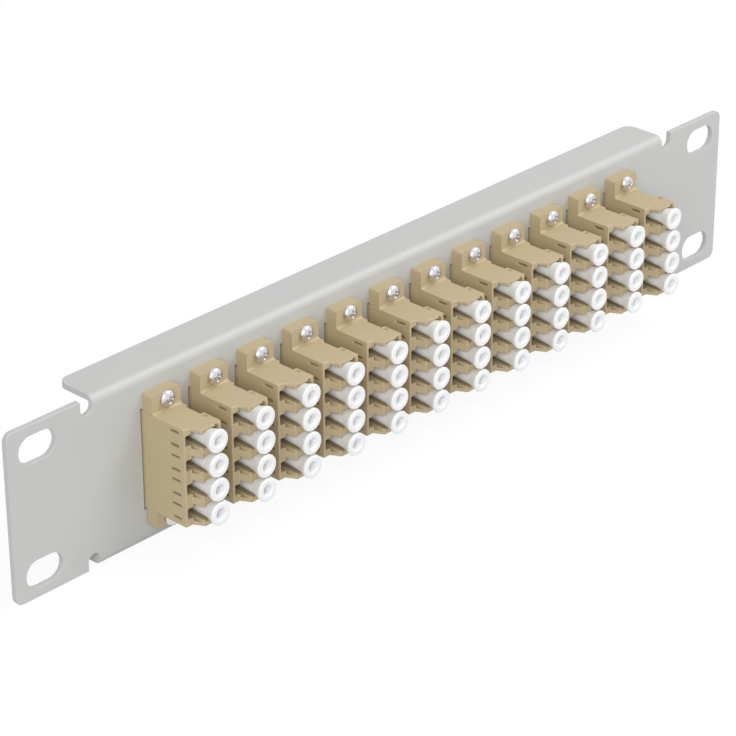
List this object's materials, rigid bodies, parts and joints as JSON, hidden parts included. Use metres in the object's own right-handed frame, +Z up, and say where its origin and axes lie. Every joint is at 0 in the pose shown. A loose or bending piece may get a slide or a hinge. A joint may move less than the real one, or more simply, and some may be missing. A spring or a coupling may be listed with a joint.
{
  "type": "fibre patch panel",
  "caption": "Narrow rack patch panel of folded sheet steel: slotted ears, a row of upright fibre adapters screwed to its face, and white dust caps that pull out of their ports.",
  "frame": {"origin": "centre of the panel's front face, which is the centre of the four rack slots", "axes": "+X right along the panel, +Y to the back of the panel, +Z up; the ports face -Y"},
  "size_m": [0.254, 0.035, 0.044],
  "materials": {
    "panel_paint": "light grey powder coat, fine texture, satin",
    "housing_plastic": "moulded beige plastic, matt",
    "cap_plastic": "moulded white plastic, soft sheen",
    "screw_steel": "bright zinc plate"
  },
  "bodies": {
    "panel_body": {"panel": "panel_paint", "adapters_01_02": "housing_plastic", "adapters_03_04": "housing_plastic", "adapters_05_06": "housing_plastic", "adapters_07_08": "housing_plastic", "adapters_09_10": "housing_plastic", "adapters_11_12": "housing_plastic", "rear_caps": "cap_plastic", "screws_upper": "screw_steel", "screws_lower": "screw_steel"},
    "cap_01_1": {"cap_01_1": "cap_plastic"},
    "cap_01_2": {"cap_01_2": "cap_plastic"},
    "cap_01_3": {"cap_01_3": "cap_plastic"},
    "cap_01_4": {"cap_01_4": "cap_plastic"},
    "cap_02_1": {"cap_02_1": "cap_plastic"},
    "cap_02_2": {"cap_02_2": "cap_plastic"},
    "cap_02_3": {"cap_02_3": "cap_plastic"},
    "cap_02_4": {"cap_02_4": "cap_plastic"},
    "cap_03_1": {"cap_03_1": "cap_plastic"},
    "cap_03_2": {"cap_03_2": "cap_plastic"},
    "cap_03_3": {"cap_03_3": "cap_plastic"},
    "cap_03_4": {"cap_03_4": "cap_plastic"},
    "cap_04_1": {"cap_04_1": "cap_plastic"},
    "cap_04_2": {"cap_04_2": "cap_plastic"},
    "cap_04_3": {"cap_04_3": "cap_plastic"},
    "cap_04_4": {"cap_04_4": "cap_plastic"},
    "cap_05_1": {"cap_05_1": "cap_plastic"},
    "cap_05_2": {"cap_05_2": "cap_plastic"},
    "cap_05_3": {"cap_05_3": "cap_plastic"},
    "cap_05_4": {"cap_05_4": "cap_plastic"},
    "cap_06_1": {"cap_06_1": "cap_plastic"},
    "cap_06_2": {"cap_06_2": "cap_plastic"},
    "cap_06_3": {"cap_06_3": "cap_plastic"},
    "cap_06_4": {"cap_06_4": "cap_plastic"},
    "cap_07_1": {"cap_07_1": "cap_plastic"},
    "cap_07_2": {"cap_07_2": "cap_plastic"},
    "cap_07_3": {"cap_07_3": "cap_plastic"},
    "cap_07_4": {"cap_07_4": "cap_plastic"},
    "cap_08_1": {"cap_08_1": "cap_plastic"},
    "cap_08_2": {"cap_08_2": "cap_plastic"},
    "cap_08_3": {"cap_08_3": "cap_plastic"},
    "cap_08_4": {"cap_08_4": "cap_plastic"},
    "cap_09_1": {"cap_09_1": "cap_plastic"},
    "cap_09_2": {"cap_09_2": "cap_plastic"},
    "cap_09_3": {"cap_09_3": "cap_plastic"},
    "cap_09_4": {"cap_09_4": "cap_plastic"},
    "cap_10_1": {"cap_10_1": "cap_plastic"},
    "cap_10_2": {"cap_10_2": "cap_plastic"},
    "cap_10_3": {"cap_10_3": "cap_plastic"},
    "cap_10_4": {"cap_10_4": "cap_plastic"},
    "cap_11_1": {"cap_11_1": "cap_plastic"},
    "cap_11_2": {"cap_11_2": "cap_plastic"},
    "cap_11_3": {"cap_11_3": "cap_plastic"},
    "cap_11_4": {"cap_11_4": "cap_plastic"},
    "cap_12_1": {"cap_12_1": "cap_plastic"},
    "cap_12_2": {"cap_12_2": "cap_plastic"},
    "cap_12_3": {"cap_12_3": "cap_plastic"},
    "cap_12_4": {"cap_12_4": "cap_plastic"}
  },
  "joints": [
    {"name": "pull_01_1", "type": "slide", "parent": "panel_body", "child": "cap_01_1", "axis": [0, -1, 0], "range_m": [0, 0.012]},
    {"name": "pull_01_2", "type": "slide", "parent": "panel_body", "child": "cap_01_2", "axis": [0, -1, 0], "range_m": [0, 0.012]},
    {"name": "pull_01_3", "type": "slide", "parent": "panel_body", "child": "cap_01_3", "axis": [0, -1, 0], "range_m": [0, 0.012]},
    {"name": "pull_01_4", "type": "slide", "parent": "panel_body", "child": "cap_01_4", "axis": [0, -1, 0], "range_m": [0, 0.012]},
    {"name": "pull_02_1", "type": "slide", "parent": "panel_body", "child": "cap_02_1", "axis": [0, -1, 0], "range_m": [0, 0.012]},
    {"name": "pull_02_2", "type": "slide", "parent": "panel_body", "child": "cap_02_2", "axis": [0, -1, 0], "range_m": [0, 0.012]},
    {"name": "pull_02_3", "type": "slide", "parent": "panel_body", "child": "cap_02_3", "axis": [0, -1, 0], "range_m": [0, 0.012]},
    {"name": "pull_02_4", "type": "slide", "parent": "panel_body", "child": "cap_02_4", "axis": [0, -1, 0], "range_m": [0, 0.012]},
    {"name": "pull_03_1", "type": "slide", "parent": "panel_body", "child": "cap_03_1", "axis": [0, -1, 0], "range_m": [0, 0.012]},
    {"name": "pull_03_2", "type": "slide", "parent": "panel_body", "child": "cap_03_2", "axis": [0, -1, 0], "range_m": [0, 0.012]},
    {"name": "pull_03_3", "type": "slide", "parent": "panel_body", "child": "cap_03_3", "axis": [0, -1, 0], "range_m": [0, 0.012]},
    {"name": "pull_03_4", "type": "slide", "parent": "panel_body", "child": "cap_03_4", "axis": [0, -1, 0], "range_m": [0, 0.012]},
    {"name": "pull_04_1", "type": "slide", "parent": "panel_body", "child": "cap_04_1", "axis": [0, -1, 0], "range_m": [0, 0.012]},
    {"name": "pull_04_2", "type": "slide", "parent": "panel_body", "child": "cap_04_2", "axis": [0, -1, 0], "range_m": [0, 0.012]},
    {"name": "pull_04_3", "type": "slide", "parent": "panel_body", "child": "cap_04_3", "axis": [0, -1, 0], "range_m": [0, 0.012]},
    {"name": "pull_04_4", "type": "slide", "parent": "panel_body", "child": "cap_04_4", "axis": [0, -1, 0], "range_m": [0, 0.012]},
    {"name": "pull_05_1", "type": "slide", "parent": "panel_body", "child": "cap_05_1", "axis": [0, -1, 0], "range_m": [0, 0.012]},
    {"name": "pull_05_2", "type": "slide", "parent": "panel_body", "child": "cap_05_2", "axis": [0, -1, 0], "range_m": [0, 0.012]},
    {"name": "pull_05_3", "type": "slide", "parent": "panel_body", "child": "cap_05_3", "axis": [0, -1, 0], "range_m": [0, 0.012]},
    {"name": "pull_05_4", "type": "slide", "parent": "panel_body", "child": "cap_05_4", "axis": [0, -1, 0], "range_m": [0, 0.012]},
    {"name": "pull_06_1", "type": "slide", "parent": "panel_body", "child": "cap_06_1", "axis": [0, -1, 0], "range_m": [0, 0.012]},
    {"name": "pull_06_2", "type": "slide", "parent": "panel_body", "child": "cap_06_2", "axis": [0, -1, 0], "range_m": [0, 0.012]},
    {"name": "pull_06_3", "type": "slide", "parent": "panel_body", "child": "cap_06_3", "axis": [0, -1, 0], "range_m": [0, 0.012]},
    {"name": "pull_06_4", "type": "slide", "parent": "panel_body", "child": "cap_06_4", "axis": [0, -1, 0], "range_m": [0, 0.012]},
    {"name": "pull_07_1", "type": "slide", "parent": "panel_body", "child": "cap_07_1", "axis": [0, -1, 0], "range_m": [0, 0.012]},
    {"name": "pull_07_2", "type": "slide", "parent": "panel_body", "child": "cap_07_2", "axis": [0, -1, 0], "range_m": [0, 0.012]},
    {"name": "pull_07_3", "type": "slide", "parent": "panel_body", "child": "cap_07_3", "axis": [0, -1, 0], "range_m": [0, 0.012]},
    {"name": "pull_07_4", "type": "slide", "parent": "panel_body", "child": "cap_07_4", "axis": [0, -1, 0], "range_m": [0, 0.012]},
    {"name": "pull_08_1", "type": "slide", "parent": "panel_body", "child": "cap_08_1", "axis": [0, -1, 0], "range_m": [0, 0.012]},
    {"name": "pull_08_2", "type": "slide", "parent": "panel_body", "child": "cap_08_2", "axis": [0, -1, 0], "range_m": [0, 0.012]},
    {"name": "pull_08_3", "type": "slide", "parent": "panel_body", "child": "cap_08_3", "axis": [0, -1, 0], "range_m": [0, 0.012]},
    {"name": "pull_08_4", "type": "slide", "parent": "panel_body", "child": "cap_08_4", "axis": [0, -1, 0], "range_m": [0, 0.012]},
    {"name": "pull_09_1", "type": "slide", "parent": "panel_body", "child": "cap_09_1", "axis": [0, -1, 0], "range_m": [0, 0.012]},
    {"name": "pull_09_2", "type": "slide", "parent": "panel_body", "child": "cap_09_2", "axis": [0, -1, 0], "range_m": [0, 0.012]},
    {"name": "pull_09_3", "type": "slide", "parent": "panel_body", "child": "cap_09_3", "axis": [0, -1, 0], "range_m": [0, 0.012]},
    {"name": "pull_09_4", "type": "slide", "parent": "panel_body", "child": "cap_09_4", "axis": [0, -1, 0], "range_m": [0, 0.012]},
    {"name": "pull_10_1", "type": "slide", "parent": "panel_body", "child": "cap_10_1", "axis": [0, -1, 0], "range_m": [0, 0.012]},
    {"name": "pull_10_2", "type": "slide", "parent": "panel_body", "child": "cap_10_2", "axis": [0, -1, 0], "range_m": [0, 0.012]},
    {"name": "pull_10_3", "type": "slide", "parent": "panel_body", "child": "cap_10_3", "axis": [0, -1, 0], "range_m": [0, 0.012]},
    {"name": "pull_10_4", "type": "slide", "parent": "panel_body", "child": "cap_10_4", "axis": [0, -1, 0], "range_m": [0, 0.012]},
    {"name": "pull_11_1", "type": "slide", "parent": "panel_body", "child": "cap_11_1", "axis": [0, -1, 0], "range_m": [0, 0.012]},
    {"name": "pull_11_2", "type": "slide", "parent": "panel_body", "child": "cap_11_2", "axis": [0, -1, 0], "range_m": [0, 0.012]},
    {"name": "pull_11_3", "type": "slide", "parent": "panel_body", "child": "cap_11_3", "axis": [0, -1, 0], "range_m": [0, 0.012]},
    {"name": "pull_11_4", "type": "slide", "parent": "panel_body", "child": "cap_11_4", "axis": [0, -1, 0], "range_m": [0, 0.012]},
    {"name": "pull_12_1", "type": "slide", "parent": "panel_body", "child": "cap_12_1", "axis": [0, -1, 0], "range_m": [0, 0.012]},
    {"name": "pull_12_2", "type": "slide", "parent": "panel_body", "child": "cap_12_2", "axis": [0, -1, 0], "range_m": [0, 0.012]},
    {"name": "pull_12_3", "type": "slide", "parent": "panel_body", "child": "cap_12_3", "axis": [0, -1, 0], "range_m": [0, 0.012]},
    {"name": "pull_12_4", "type": "slide", "parent": "panel_body", "child": "cap_12_4", "axis": [0, -1, 0], "range_m": [0, 0.012]}
  ]
}
